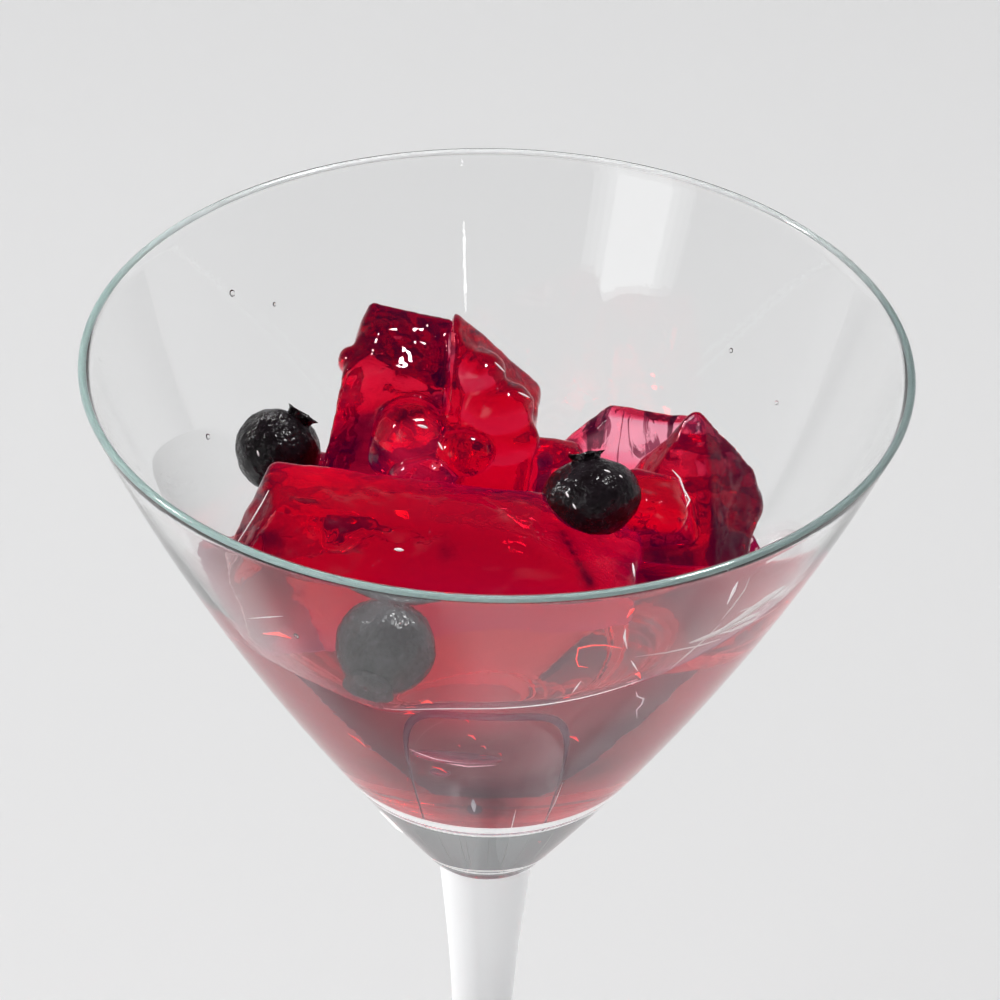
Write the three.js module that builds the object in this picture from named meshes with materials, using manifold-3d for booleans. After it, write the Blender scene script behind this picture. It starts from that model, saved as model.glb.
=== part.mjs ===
// Broken red jelly and dark berries in a stemmed cocktail glass.
// Millimetres, +Z up, origin at the middle of the foot's flat underside.
import * as THREE from "three";
import { mergeVertices } from "three/addons/utils/BufferGeometryUtils.js";
import Module from "manifold-3d";

const wasm = await Module();
wasm.setup();

// Driving dimensions of the glass. The rim's height is where its rounding starts.
const RIM_Z = 172;
const RIM_RADIUS = 54;
const BOWL_DEPTH = 78;
const BOWL_BULGE = { radius: 37.7, drop: 38.2 };
const BOWL_END = { radius: 8.8, drop: 76.4 };
const JOINT_RADIUS = 6.5;
const RIM_WALL = 1.1;
const BASE_WALL = 2.4;
const HOLLOW_END = 0.785;
const FLOOR_TURN = 6;
const FLOOR_SAG = 0.5;
const STEM_RADIUS = 3.8;
const STEM_SLIM_Z = 52;
const FOOT_RADIUS = 36;
const FOOT_EDGE = 2;
const TURN_STEPS = 48;

// Driving dimensions of the filling. The level falls towards the back, leans up to the right, climbs
// the wall at the front right, rises to a mound under the lumps and dips below the front berry.
const LEVEL_DROP = 25.4;
const LEVEL_FALL = 10;
const LEVEL_LEAN = 0.065;
const LEVEL_BOW = 0.005;
const MOUND = { x: -5, y: -4, rise: 10, spread: 14 };
const DIP = { x: -12.5, y: -33, rise: -3.4, spread: 5 };
const GAP = 0.3;

const JOINT_Z = RIM_Z - BOWL_DEPTH;
const LEVEL_Z = RIM_Z - LEVEL_DROP;

// Looks
const clearGlass = new THREE.MeshStandardMaterial({
  color: 0xe6f2ef, roughness: 0.03, metalness: 0, transparent: true, opacity: 0.35,
});
const opalGlass = new THREE.MeshStandardMaterial({ color: 0xeeeff0, roughness: 0.35, metalness: 0 });
const redJelly = new THREE.MeshStandardMaterial({
  color: 0xb00418, roughness: 0.08, metalness: 0, transparent: true, opacity: 0.85,
});
const berrySkin = new THREE.MeshStandardMaterial({ color: 0x1d1418, roughness: 0.3, metalness: 0 });

// Solids and meshes

function solidOf(geometry) {
  const bare = geometry.clone();
  bare.deleteAttribute("normal");
  bare.deleteAttribute("uv");
  const merged = mergeVertices(bare, 1e-4);
  const corners = merged.index.array;
  const kept = [];
  for (let i = 0; i < corners.length; i += 3) {
    const [a, b, c] = [corners[i], corners[i + 1], corners[i + 2]];
    if (a !== b && b !== c && c !== a) kept.push(a, b, c);
  }
  return new wasm.Manifold(new wasm.Mesh({
    numProp: 3,
    vertProperties: merged.attributes.position.array,
    triVerts: new Uint32Array(kept),
  }));
}

function geometryOf(solid) {
  const { vertProperties, triVerts } = solid.getMesh();
  const geometry = new THREE.BufferGeometry();
  geometry.setAttribute("position", new THREE.BufferAttribute(vertProperties, 3));
  geometry.setIndex(new THREE.BufferAttribute(triVerts, 1));
  geometry.computeVertexNormals();
  return geometry;
}

function piece(name, solid, material) {
  const mesh = new THREE.Mesh(geometryOf(solid), material.clone());
  mesh.name = name;
  return mesh;
}

// A profile of radius and height points, from the axis below to the axis above, turned about Z.
function turnedShape(profile) {
  return new THREE.LatheGeometry(profile, TURN_STEPS).rotateX(Math.PI / 2);
}

// The bowl

const bowlCurve = new THREE.QuadraticBezierCurve(
  new THREE.Vector2(RIM_RADIUS, RIM_Z),
  new THREE.Vector2(BOWL_BULGE.radius, RIM_Z - BOWL_BULGE.drop),
  new THREE.Vector2(BOWL_END.radius, RIM_Z - BOWL_END.drop),
);

// A point of the wall at t, from the rim at 0 to the bowl's end at 1, moved in from the outer face.
function wallPoint(t, inset) {
  const tangent = bowlCurve.getTangent(t);
  const inward = new THREE.Vector2(tangent.y, -tangent.x);
  return bowlCurve.getPoint(t).addScaledVector(inward, inset);
}

const wallThickness = (t) => RIM_WALL + (BASE_WALL - RIM_WALL) * t * t;

// The hollow's flat floor, the rounding at its edge and its side, from the axis up to the rim, shrunk
// by a clearance.
function hollowProfile(clearance, sideSteps = 9, turnSteps = 3) {
  const side = [];
  for (let i = sideSteps; i >= 0; i--) {
    const t = (HOLLOW_END * i) / sideSteps;
    side.push(wallPoint(t, wallThickness(t) + clearance));
  }
  const slope = bowlCurve.getTangent(HOLLOW_END);
  const radius = FLOOR_TURN - clearance;
  const centre = side[0].clone().addScaledVector(new THREE.Vector2(slope.y, -slope.x), radius);
  const end = Math.PI / 2 - Math.atan2(-slope.y, slope.x);
  const turn = [];
  for (let i = 0; i < turnSteps; i++) {
    const angle = THREE.MathUtils.lerp(-Math.PI / 2, end, i / turnSteps);
    turn.push(new THREE.Vector2(Math.cos(angle), Math.sin(angle)).multiplyScalar(radius).add(centre));
  }
  return [new THREE.Vector2(0, turn[0].y - FLOOR_SAG), ...turn, ...side];
}

function bowl() {
  const steps = 10;
  const outer = [];
  for (let i = steps; i >= 0; i--) outer.push(wallPoint(i / steps, 0));
  const rimCentre = wallPoint(0, RIM_WALL / 2);
  const outward = outer[steps].clone().sub(rimCentre);
  const rim = [Math.PI / 4, Math.PI / 2, Math.PI * 0.75].map(
    (angle) => outward.clone().rotateAround(new THREE.Vector2(), angle).add(rimCentre));
  const inner = hollowProfile(0).reverse();
  const bottom = new THREE.QuadraticBezierCurve(
    new THREE.Vector2(JOINT_RADIUS, JOINT_Z),
    new THREE.Vector2(BOWL_END.radius - 1, JOINT_Z),
    outer[0],
  ).getPoints(3).slice(0, 3);
  return solidOf(turnedShape([new THREE.Vector2(0, JOINT_Z), ...bottom, ...outer, ...rim, ...inner]));
}

// The stem and foot, one piece of white glass

function stemAndFoot() {
  const neck = new THREE.CubicBezierCurve(
    new THREE.Vector2(JOINT_RADIUS, JOINT_Z),
    new THREE.Vector2(JOINT_RADIUS - 1.2, JOINT_Z - 12),
    new THREE.Vector2(STEM_RADIUS, JOINT_Z - 22),
    new THREE.Vector2(STEM_RADIUS, STEM_SLIM_Z),
  );
  const flare = new THREE.CubicBezierCurve(
    new THREE.Vector2(STEM_RADIUS, STEM_SLIM_Z),
    new THREE.Vector2(STEM_RADIUS, 6),
    new THREE.Vector2(STEM_RADIUS + 5, 5.6),
    new THREE.Vector2(FOOT_RADIUS - 0.4, FOOT_EDGE),
  );
  const side = [...neck.getPoints(6), ...flare.getPoints(8).slice(1)].reverse();
  return solidOf(turnedShape([
    new THREE.Vector2(0, 0),
    new THREE.Vector2(FOOT_RADIUS - 0.6, 0),
    new THREE.Vector2(FOOT_RADIUS, FOOT_EDGE / 2),
    ...side,
    new THREE.Vector2(0, JOINT_Z),
  ]));
}

// The jelly that still fills the cone

function levelAt(x, y) {
  const back = THREE.MathUtils.smoothstep(y + 0.2 * x, -14, 10);
  let level = LEVEL_Z + LEVEL_LEAN * x - LEVEL_FALL * back + LEVEL_BOW * Math.max(0, x) ** 2 * (1 - back);
  for (const hill of [MOUND, DIP]) {
    const off = Math.hypot(x - hill.x, y - hill.y) / hill.spread;
    level += hill.rise * Math.exp(-off * off / 2);
  }
  return level;
}

// A round block with the uneven level as its top, raised by the amount given.
function underLevel(raise) {
  const rings = [60, 42, 37, 31, 24, 17, 9, 0];
  const profile = [new THREE.Vector2(0, JOINT_Z), new THREE.Vector2(60, JOINT_Z)];
  for (const radius of rings) profile.push(new THREE.Vector2(radius, LEVEL_Z));
  const geometry = turnedShape(profile);
  const position = geometry.attributes.position;
  for (let i = 0; i < position.count; i++) {
    if (position.getZ(i) < LEVEL_Z - 1) continue;
    position.setZ(i, levelAt(position.getX(i), position.getY(i)) + raise);
  }
  return solidOf(geometry);
}

// The room inside the bowl, kept clear of the wall and open above the rim.
function room() {
  const profile = hollowProfile(GAP);
  const top = profile[profile.length - 1];
  profile.push(new THREE.Vector2(top.x + 8, top.y + 20), new THREE.Vector2(0, top.y + 20));
  return solidOf(turnedShape(profile));
}

// Broken lumps of jelly

// Each cut is [azimuth, elevation, distance]: the way a face looks, in degrees, and how far it lies
// from the centre. The crispness is how sharply neighbouring faces meet.
function brokenLump({ centre, cuts, crisp = 14, ripple = 0.02, detail = 5 }, grow = 0) {
  const faces = cuts.map(([azimuth, elevation, distance]) => {
    const [a, e] = [THREE.MathUtils.degToRad(azimuth), THREE.MathUtils.degToRad(elevation)];
    const normal = new THREE.Vector3(Math.cos(e) * Math.cos(a), Math.cos(e) * Math.sin(a), Math.sin(e));
    return { normal, distance: distance + grow };
  });
  const geometry = new THREE.IcosahedronGeometry(1, detail);
  const position = geometry.attributes.position;
  const way = new THREE.Vector3();
  for (let i = 0; i < position.count; i++) {
    way.fromBufferAttribute(position, i).normalize();
    let sum = 0;
    for (const { normal, distance } of faces) sum += Math.max(0, way.dot(normal) / distance) ** crisp;
    const waves = Math.sin(3 * way.x + 4 * way.z + centre[0]) * Math.cos(5 * way.y - 3 * way.z + centre[1]);
    way.multiplyScalar(sum ** (-1 / crisp) * (1 + ripple * waves));
    position.setXYZ(i, way.x + centre[0], way.y + centre[1], way.z + centre[2]);
  }
  return solidOf(geometry);
}

const LUMPS = {
  jelly_peak: {
    centre: [-12, 9, RIM_Z - 12],
    cuts: [
      [-84, 18, 5.8], [170, 10, 8.2], [85, 12, 9.2], [-5, 3, 6.3], [-30, 75, 10.4], [200, 55, 11.2],
      [-48, 57, 7.8], [-78, -14, 4], [0, -90, 24],
    ],
    crisp: 24,
  },
  jelly_slab: {
    centre: [-8, -17, RIM_Z - 18],
    cuts: [
      [-90, 20, 7.2], [90, 10, 7.6], [0, 84, 7.4], [186, 34, 22.2], [190, -20, 24.6], [-10, 61, 11.6],
      [150, 10, 22], [-5, 0, 26.6], [-40, 35, 20.6], [0, -90, 13],
    ],
    crisp: 20,
  },
  jelly_lobe: {
    centre: [-0.5, 6, RIM_Z - 12],
    cuts: [
      [-95, 8, 6], [180, 0, 5.6], [85, 5, 7], [0, -10, 6], [0, 46, 5.4], [-70, 42, 6.4], [0, -90, 24],
    ],
    crisp: 12, detail: 4,
  },
  jelly_shard: {
    centre: [25, 1, RIM_Z - 22],
    cuts: [
      [-95, 40, 4], [-85, 0, 10], [-30, 28, 5.2], [0, 15, 9.4], [0, -35, 10.6], [180, 35, 6.5],
      [185, 0, 8], [90, 10, 7], [0, -90, 18],
    ],
    crisp: 24, detail: 4,
  },
  jelly_fin: {
    centre: [17, 14, RIM_Z - 22],
    cuts: [
      [-95, 25, 1.8], [85, -18, 1.8], [180, 50, 5], [180, 5, 11], [0, 88, 5.2], [0, 0, 10], [0, -90, 16],
    ],
    crisp: 18, detail: 4,
  },
  jelly_chip: {
    centre: [7.5, 8, RIM_Z - 21],
    cuts: [
      [-90, 15, 3], [0, 10, 4.5], [90, 10, 3], [180, 0, 5], [0, 80, 4.2], [0, -90, 16],
    ],
    crisp: 8, detail: 3,
  },
  jelly_lump: {
    centre: [21, -7, RIM_Z - 17.5],
    cuts: [
      [-90, 20, 4.6], [0, 15, 4.2], [90, 10, 5], [180, 0, 4.2], [0, 80, 4], [-85, -40, 3.2], [0, -90, 7],
    ],
    crisp: 8, detail: 3,
  },
  jelly_nub: {
    centre: [-11, -2, RIM_Z - 12.2],
    cuts: [
      [-90, 10, 4.2], [0, 10, 4.4], [90, 10, 5], [180, 0, 4.4], [-70, 60, 4.4], [0, 80, 4], [0, -90, 22],
    ],
    crisp: 8, detail: 3,
  },
  jelly_ledge: {
    centre: [-25, 14, RIM_Z - 33],
    cuts: [
      [-90, 10, 9], [0, 10, 8], [90, 10, 9], [180, 10, 6.4], [0, 80, 5], [0, -90, 8],
    ],
    crisp: 8, detail: 3,
  },
};

// Berries

// A round berry, flattened along its axis, with the dry tuft of its flower at the axis's end.
function berry({ centre, axis, radius, flat = 0.93 }, grow = 0) {
  const body = new THREE.IcosahedronGeometry(radius + grow, 3).scale(1, 1, flat);
  const tuft = new THREE.LatheGeometry([
    new THREE.Vector2(0, -0.5),
    new THREE.Vector2(radius * 0.26 + grow, -0.5),
    new THREE.Vector2(radius * 0.36 + grow, radius * 0.2 + grow),
    new THREE.Vector2(0, radius * 0.14 + grow),
  ], 8).rotateX(Math.PI / 2).translate(0, 0, radius * flat * 0.95);
  const turn = new THREE.Quaternion().setFromUnitVectors(
    new THREE.Vector3(0, 0, 1), new THREE.Vector3(...axis).normalize());
  const place = new THREE.Matrix4().makeRotationFromQuaternion(turn).setPosition(...centre);
  return solidOf(body.applyMatrix4(place)).add(solidOf(tuft.applyMatrix4(place)));
}

const BERRIES = {
  berry_left: { centre: [-29, 15.6, RIM_Z - 24.4], axis: [0.7, 0.5, 1], radius: 5.9 },
  berry_right: { centre: [12.6, -10, RIM_Z - 13.6], axis: [-0.2, 0.6, 1], radius: 6.4, flat: 0.82 },
  berry_front: { centre: [-13.2, -30.6, RIM_Z - 22.8], axis: [-0.5, -0.6, -1], radius: 6.4 },
};

// The whole. Each lump is cut clear of the glass and of the pieces that came before it.

const roomSolid = room();
const floorSolid = underLevel(GAP);
const part = new THREE.Group();
part.add(piece("glass_bowl", bowl(), clearGlass));
part.add(piece("glass_stem", stemAndFoot(), opalGlass));

const taken = [];
let base = roomSolid.intersect(underLevel(0));
for (const [name, spec] of Object.entries(BERRIES)) {
  part.add(piece(name, berry(spec), berrySkin));
  taken.push(berry(spec, GAP));
  base = base.subtract(berry(spec, GAP));
}
part.add(piece("jelly_base", base, redJelly));
for (const [name, spec] of Object.entries(LUMPS)) {
  let lump = brokenLump(spec).intersect(roomSolid).subtract(floorSolid);
  for (const other of taken) lump = lump.subtract(other);
  const largest = lump.decompose().sort((a, b) => b.volume() - a.volume())[0];
  part.add(piece(name, largest, redJelly));
  taken.push(brokenLump(spec, GAP));
}

export default part;
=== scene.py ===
# %% [markdown]
# Broken red jelly and dark berries in a stemmed cocktail glass.
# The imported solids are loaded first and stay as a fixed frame: every visible piece below is modelled
# in the same place, in metres, and then stands for the solid of that name.

# %% Load the frame
import math
import bpy
from mathutils import Matrix, Vector, noise


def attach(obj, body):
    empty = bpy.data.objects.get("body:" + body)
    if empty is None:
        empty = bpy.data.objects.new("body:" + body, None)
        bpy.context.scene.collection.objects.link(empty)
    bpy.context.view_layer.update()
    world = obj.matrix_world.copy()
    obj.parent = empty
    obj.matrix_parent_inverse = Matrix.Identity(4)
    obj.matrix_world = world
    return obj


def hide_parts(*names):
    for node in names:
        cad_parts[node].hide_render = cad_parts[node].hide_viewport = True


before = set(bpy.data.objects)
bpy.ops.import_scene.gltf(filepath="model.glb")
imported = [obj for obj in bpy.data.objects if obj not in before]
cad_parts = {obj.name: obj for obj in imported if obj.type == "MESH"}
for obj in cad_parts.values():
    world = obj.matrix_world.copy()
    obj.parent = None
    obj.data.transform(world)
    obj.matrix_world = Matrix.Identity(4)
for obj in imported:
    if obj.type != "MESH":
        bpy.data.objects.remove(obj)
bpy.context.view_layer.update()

print("nodes:", sorted(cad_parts))

# %% [markdown]
# The camera comes first, because all shapes are judged through it. The photograph looks down on the
# glass by about a third of a right angle, from far away, with the camera leaning a little to one side.
# A long lens at that distance gives the rim its flat ellipse without stretching the near side.

# %% Camera
MM = 0.001
LOOK_AT = Vector((0.8, 0.0, 151.0)) * MM
LOOK_DOWN = math.radians(33.808)
LEAN = math.radians(1.391)
CAMERA_DISTANCE = 800 * MM
FOCAL_PIXELS = 6105.2
PICTURE_PIXELS = 1000
SENSOR_WIDTH = 36.0

back_along_view = Vector((0, -math.cos(LOOK_DOWN), math.sin(LOOK_DOWN)))
camera_data = bpy.data.cameras.new("photo_camera")
camera_data.sensor_width = SENSOR_WIDTH
camera_data.lens = FOCAL_PIXELS * SENSOR_WIDTH / PICTURE_PIXELS
camera_data.clip_start = 0.01
camera = bpy.data.objects.new("photo_camera", camera_data)
bpy.context.scene.collection.objects.link(camera)
turn = Matrix.Rotation(math.pi / 2 - LOOK_DOWN, 4, "X") @ Matrix.Rotation(LEAN, 4, "Z")
camera.matrix_world = Matrix.Translation(LOOK_AT + back_along_view * CAMERA_DISTANCE) @ turn
bpy.context.scene.camera = camera
print("lens", round(camera_data.lens, 1), "mm at", [round(v, 3) for v in camera.location])

# %% [markdown]
# Clear jelly in clear glass is a chain of see-through surfaces. A ray has to pass the front wall, the
# jelly's lumps and the back wall before it reaches the bright table, so the light paths are allowed
# to be long. The colours are shown as they are, with no film curve, so that the red stays pure.

# %% Light paths and colours
scene = bpy.context.scene
scene.cycles.max_bounces = 16
scene.cycles.transmission_bounces = 16
scene.cycles.glossy_bounces = 8
scene.cycles.transparent_max_bounces = 8
scene.cycles.adaptive_threshold = 0.05
scene.view_settings.view_transform = "Standard"
scene.view_settings.look = "None"
print("a ray may meet", scene.cycles.max_bounces, "surfaces")

# %% [markdown]
# The table is a plain pale sheet that fills the view. It is also the main light of the picture: seen
# through the jelly it makes the bright red, and mirrored in the front wall it makes the pale veil.

# %% Table
def deselect_all():
    if bpy.context.mode != "OBJECT":
        bpy.ops.object.mode_set(mode="OBJECT")
    bpy.ops.object.select_all(action="DESELECT")


def node_material(name):
    material = bpy.data.materials.new(name)
    material.use_nodes = True
    return material, material.node_tree.nodes["Principled BSDF"]


deselect_all()
bpy.ops.mesh.primitive_plane_add(size=6, location=(0, 0, 0))
table = bpy.context.object
table.name = "pale_table"
table_white, shader = node_material("pale_table")
shader.inputs["Base Color"].default_value = (0.8, 0.8, 0.8, 1)
shader.inputs["Roughness"].default_value = 0.6
shader.inputs["Specular IOR Level"].default_value = 0.2
table.data.materials.append(table_white)
print("table", [round(side, 1) for side in table.dimensions], "m")

# %% [markdown]
# The studio is dark above the table and behind the camera, which keeps the reds deep. Only its far
# sides are pale, and show along the edges of the glass. Two small lamps light the table, one
# from above and one from the left, so that no shadow falls where the camera looks. A window shows as
# the bright patch on the far wall: four boxes of growing size in one place give it a soft edge. Two
# short strips show as the thin line beside it.

# %% Studio light
def lamp(name, place, size_x, size_y, watts, aim=(0, 0, 0.13)):
    data = bpy.data.lights.new(name, "AREA")
    data.shape = "RECTANGLE"
    data.size, data.size_y, data.energy = size_x, size_y, watts
    holder = bpy.data.objects.new(name, data)
    scene.collection.objects.link(holder)
    place = Vector(place)
    holder.matrix_world = Matrix.Translation(place) @ (
        (Vector(aim) - place).to_track_quat("-Z", "Y").to_matrix().to_4x4())
    return holder


world = bpy.data.worlds.new("dim_studio")
world.use_nodes = True
nodes, links = world.node_tree.nodes, world.node_tree.links
way, parts = nodes.new("ShaderNodeTexCoord"), nodes.new("ShaderNodeSeparateXYZ")
links.new(way.outputs["Generated"], parts.inputs["Vector"])
both = nodes.new("ShaderNodeMath")
both.operation = "MULTIPLY"
for i, (axis, none, full) in enumerate((("Z", 0.45, 0.0), ("Y", -0.5, 0.3))):
    share = nodes.new("ShaderNodeMapRange")
    share.inputs["From Min"].default_value, share.inputs["From Max"].default_value = none, full
    links.new(parts.outputs[axis], share.inputs["Value"])
    links.new(share.outputs["Result"], both.inputs[i])
glow = nodes.new("ShaderNodeMix")
glow.data_type = "RGBA"
glow.inputs["A"].default_value = (0.06, 0.06, 0.065, 1)
glow.inputs["B"].default_value = (0.5, 0.5, 0.51, 1)
links.new(both.outputs["Value"], glow.inputs["Factor"])
links.new(glow.outputs["Result"], nodes["Background"].inputs["Color"])
scene.world = world
lamp("overhead_lamp", (0.55, 0.3, 1.5), 0.2, 0.2, 15)
lamp("left_lamp", (-1.3, 0.1, 0.9), 0.25, 0.25, 13)
WINDOW_PLACE, WINDOW_STEPS = (-0.63, -0.73, 0.5), 4
for step in range(WINDOW_STEPS):
    lamp(f"window_box_{step}", WINDOW_PLACE, 0.28 + 0.08 * step, 0.34 + 0.09 * step, 0.6)
lamp("strip_high", (0.18, -0.93, 0.53), 0.012, 0.05, 0.012)
lamp("strip_low", (0.18, -0.93, 0.44), 0.012, 0.025, 0.006)

# %% [markdown]
# Glass, jelly and wet berry skin are never quite even: the surface swells and dips a little. One node
# group makes that unevenness from two sizes of noise, and each material takes as much of it as it
# needs, as a height for its bump and as a mask for its gloss.

# %% Shared surface unevenness
def unevenness_group():
    group = bpy.data.node_groups.new("surface_unevenness", "ShaderNodeTree")
    for name, default in (("Broad Scale", 100.0), ("Fine Scale", 600.0), ("Fine Share", 0.3)):
        socket = group.interface.new_socket(name, in_out="INPUT", socket_type="NodeSocketFloat")
        socket.default_value = default
    group.interface.new_socket("Height", in_out="OUTPUT", socket_type="NodeSocketFloat")
    group.interface.new_socket("Mask", in_out="OUTPUT", socket_type="NodeSocketFloat")
    nodes, links = group.nodes, group.links
    given, result = nodes.new("NodeGroupInput"), nodes.new("NodeGroupOutput")
    place = nodes.new("ShaderNodeTexCoord")
    broad, fine = nodes.new("ShaderNodeTexNoise"), nodes.new("ShaderNodeTexNoise")
    broad.inputs["Detail"].default_value, fine.inputs["Detail"].default_value = 0, 1
    mix = nodes.new("ShaderNodeMix")
    links.new(place.outputs["Object"], broad.inputs["Vector"])
    links.new(place.outputs["Object"], fine.inputs["Vector"])
    links.new(given.outputs["Broad Scale"], broad.inputs["Scale"])
    links.new(given.outputs["Fine Scale"], fine.inputs["Scale"])
    links.new(given.outputs["Fine Share"], mix.inputs["Factor"])
    links.new(broad.outputs["Fac"], mix.inputs["A"])
    links.new(fine.outputs["Fac"], mix.inputs["B"])
    links.new(mix.outputs["Result"], result.inputs["Height"])
    links.new(fine.outputs["Fac"], result.inputs["Mask"])
    return group


UNEVEN = unevenness_group()
print(UNEVEN.name, "has", len(UNEVEN.nodes), "nodes")

# %% [markdown]
# A few node patterns come back in most materials: a value mapped to another range, two colours mixed by
# a share, and the place of a point along one axis. Each is a short function that hands on its result.

# %% Node helpers
def mapped(material, value, low, high, to=(0, 1)):
    """Maps a value from low..high to another range."""
    node = material.node_tree.nodes.new("ShaderNodeMapRange")
    node.inputs["From Min"].default_value, node.inputs["From Max"].default_value = low, high
    node.inputs["To Min"].default_value, node.inputs["To Max"].default_value = to
    material.node_tree.links.new(value, node.inputs["Value"])
    return node.outputs["Result"]


def blended(material, share, start, end):
    """Mixes two colours by a share; each is a colour or the result of another node."""
    tree = material.node_tree
    node = tree.nodes.new("ShaderNodeMix")
    node.data_type = "RGBA"
    tree.links.new(share, node.inputs["Factor"])
    for name, colour in (("A", start), ("B", end)):
        if isinstance(colour, tuple):
            node.inputs[name].default_value = (*colour, 1)
        else:
            tree.links.new(colour, node.inputs[name])
    return node.outputs["Result"]


def place_along(material, axis):
    """How far along an axis a point of the piece lies, in metres."""
    tree = material.node_tree
    place, parts = tree.nodes.new("ShaderNodeTexCoord"), tree.nodes.new("ShaderNodeSeparateXYZ")
    tree.links.new(place.outputs["Object"], parts.inputs["Vector"])
    return parts.outputs[axis]


def add_unevenness(material, shader, broad, fine, share, height, roughness=None):
    """Puts the group into a material: height is the bump in metres, roughness its lowest and highest.
    Clear materials have none: a perfectly smooth surface is much quicker to see through."""
    nodes, links = material.node_tree.nodes, material.node_tree.links
    group = nodes.new("ShaderNodeGroup")
    group.node_tree = UNEVEN
    group.inputs["Broad Scale"].default_value = broad
    group.inputs["Fine Scale"].default_value = fine
    group.inputs["Fine Share"].default_value = share
    bump = nodes.new("ShaderNodeBump")
    bump.inputs["Distance"].default_value = height
    links.new(group.outputs["Height"], bump.inputs["Height"])
    links.new(bump.outputs["Normal"], shader.inputs["Normal"])
    if roughness is None:
        shader.inputs["Roughness"].default_value = 0.0
    else:
        links.new(mapped(material, group.outputs["Mask"], 0, 1, roughness), shader.inputs["Roughness"])
    return group


# %% [markdown]
# Clear materials get their colour from depth, not from their skin. Light that travels further through
# red jelly loses more green and blue, so thin slivers are pink and thick lumps deep red. Volume
# absorption does exactly this. The glass has a trace of sea green, which shows only along the rim.

# %% Clear materials
def clear_material(name, ior, absorb_colour, absorb_density):
    material, shader = node_material(name)
    shader.inputs["Base Color"].default_value = (1, 1, 1, 1)
    shader.inputs["IOR"].default_value = ior
    shader.inputs["Transmission Weight"].default_value = 1.0
    nodes, links = material.node_tree.nodes, material.node_tree.links
    absorb = nodes.new("ShaderNodeVolumeAbsorption")
    absorb.inputs["Color"].default_value = (*absorb_colour, 1)
    absorb.inputs["Density"].default_value = absorb_density
    links.new(absorb.outputs["Volume"], nodes["Material Output"].inputs["Volume"])
    return material, shader


clear_glass, shader = clear_material("clear_glass", 1.5, (0.4, 0.9, 0.8), 4)
add_unevenness(clear_glass, shader, 60, 900, 0.1, 0.00003)

# %% [markdown]
# A broken face of jelly looks dark or bright by where its light comes from, and here that light is painted.
# The lumps below carry it as a number at each point, called shade: above nought the face gets painted
# shade, a dark tint, and below nought a painted red glow. The material turns it into the tint and the
# glow, broken into patches by noise, and puts a faint painted glow on every face.

# %% Red jelly
def jelly_material(name, dark, painted_glow, mottle, bump=0.00012):
    material, shader = clear_material(name, 1.35, (0.963, 0.0, 0.25), 310)
    add_unevenness(material, shader, 220, 900, 0.25, bump)
    nodes, links = material.node_tree.nodes, material.node_tree.links
    given = nodes.new("ShaderNodeAttribute")
    given.attribute_name = "shade"
    patches = nodes.new("ShaderNodeTexNoise")
    patches.inputs["Scale"].default_value = mottle
    patches.inputs["Detail"].default_value = 2
    place = nodes.new("ShaderNodeTexCoord")
    links.new(place.outputs["Object"], patches.inputs["Vector"])
    # Painted light: the first row paints shade as a dark tint into the Base Color, the second paints a red
    # glow into the Emission Color, starting from a faint painted glow on every face.
    for deepest, least, target, start, end in (
            (1.0, 0.85, "Base Color", (1, 1, 1), dark),
            (-1.0, 0.4, "Emission Color", (0.006, 0.0, 0.012), painted_glow)):
        both = nodes.new("ShaderNodeMath")
        both.operation = "MULTIPLY"
        links.new(mapped(material, given.outputs["Fac"], 0.0, deepest), both.inputs[0])
        links.new(mapped(material, patches.outputs["Fac"], 0.35, 0.65, (least, 1)), both.inputs[1])
        links.new(blended(material, both.outputs["Value"], start, end), shader.inputs[target])
    shader.inputs["Emission Strength"].default_value = 1.0
    return material


# The dark tint of painted shade; the second colour of each jelly below is its painted glow.
PAINTED_SHADE_TINT = (0.02, 0.03, 0.04)
red_jelly = jelly_material("red_jelly", PAINTED_SHADE_TINT, (0.4, 0.006, 0.035), 260)
still_jelly = jelly_material("still_jelly", PAINTED_SHADE_TINT, (0.2, 0.005, 0.03), 60, 0.00002)
print("jelly that is broken:", red_jelly.name, "and poured:", still_jelly.name)

# %% [markdown]
# The thin sheet behind the shard is split all over. Dark cracks run through its pink, which is a painted
# pale glow, so stretched and twisted noise with a hard edge tints it in streaks.

# %% Split jelly
split_jelly = jelly_material("split_jelly", PAINTED_SHADE_TINT, (0.3, 0.13, 0.17), 260)
nodes, links = split_jelly.node_tree.nodes, split_jelly.node_tree.links
place, stretch = nodes.new("ShaderNodeTexCoord"), nodes.new("ShaderNodeMapping")
cracks = nodes.new("ShaderNodeTexNoise")
stretch.inputs["Rotation"].default_value = (0.0, 0.7, 0.0)
stretch.inputs["Scale"].default_value = (2.2, 1.0, 0.6)
cracks.inputs["Scale"].default_value, cracks.inputs["Detail"].default_value = 120, 4
cracks.inputs["Distortion"].default_value = 1.6
links.new(place.outputs["Object"], stretch.inputs["Vector"])
links.new(stretch.outputs["Vector"], cracks.inputs["Vector"])
cracked = mapped(split_jelly, cracks.outputs["Fac"], 0.55, 0.58)
tint = blended(split_jelly, cracked, (1, 1, 1), (0.06, 0.004, 0.012))
links.new(tint, nodes["Principled BSDF"].inputs["Base Color"])
print(split_jelly.name, "has", len(nodes), "nodes")

# %% [markdown]
# The stem and foot are white glass with a satin skin: no clear depth, only a soft sheen. A painted glow
# makes the upper stem lighter; it grows from nothing 2 cm up to full 8 cm up, so the foot gets none.

# %% White glass
white_glass, shader = node_material("white_glass")
shader.inputs["Base Color"].default_value = (0.86, 0.865, 0.87, 1)
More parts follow.
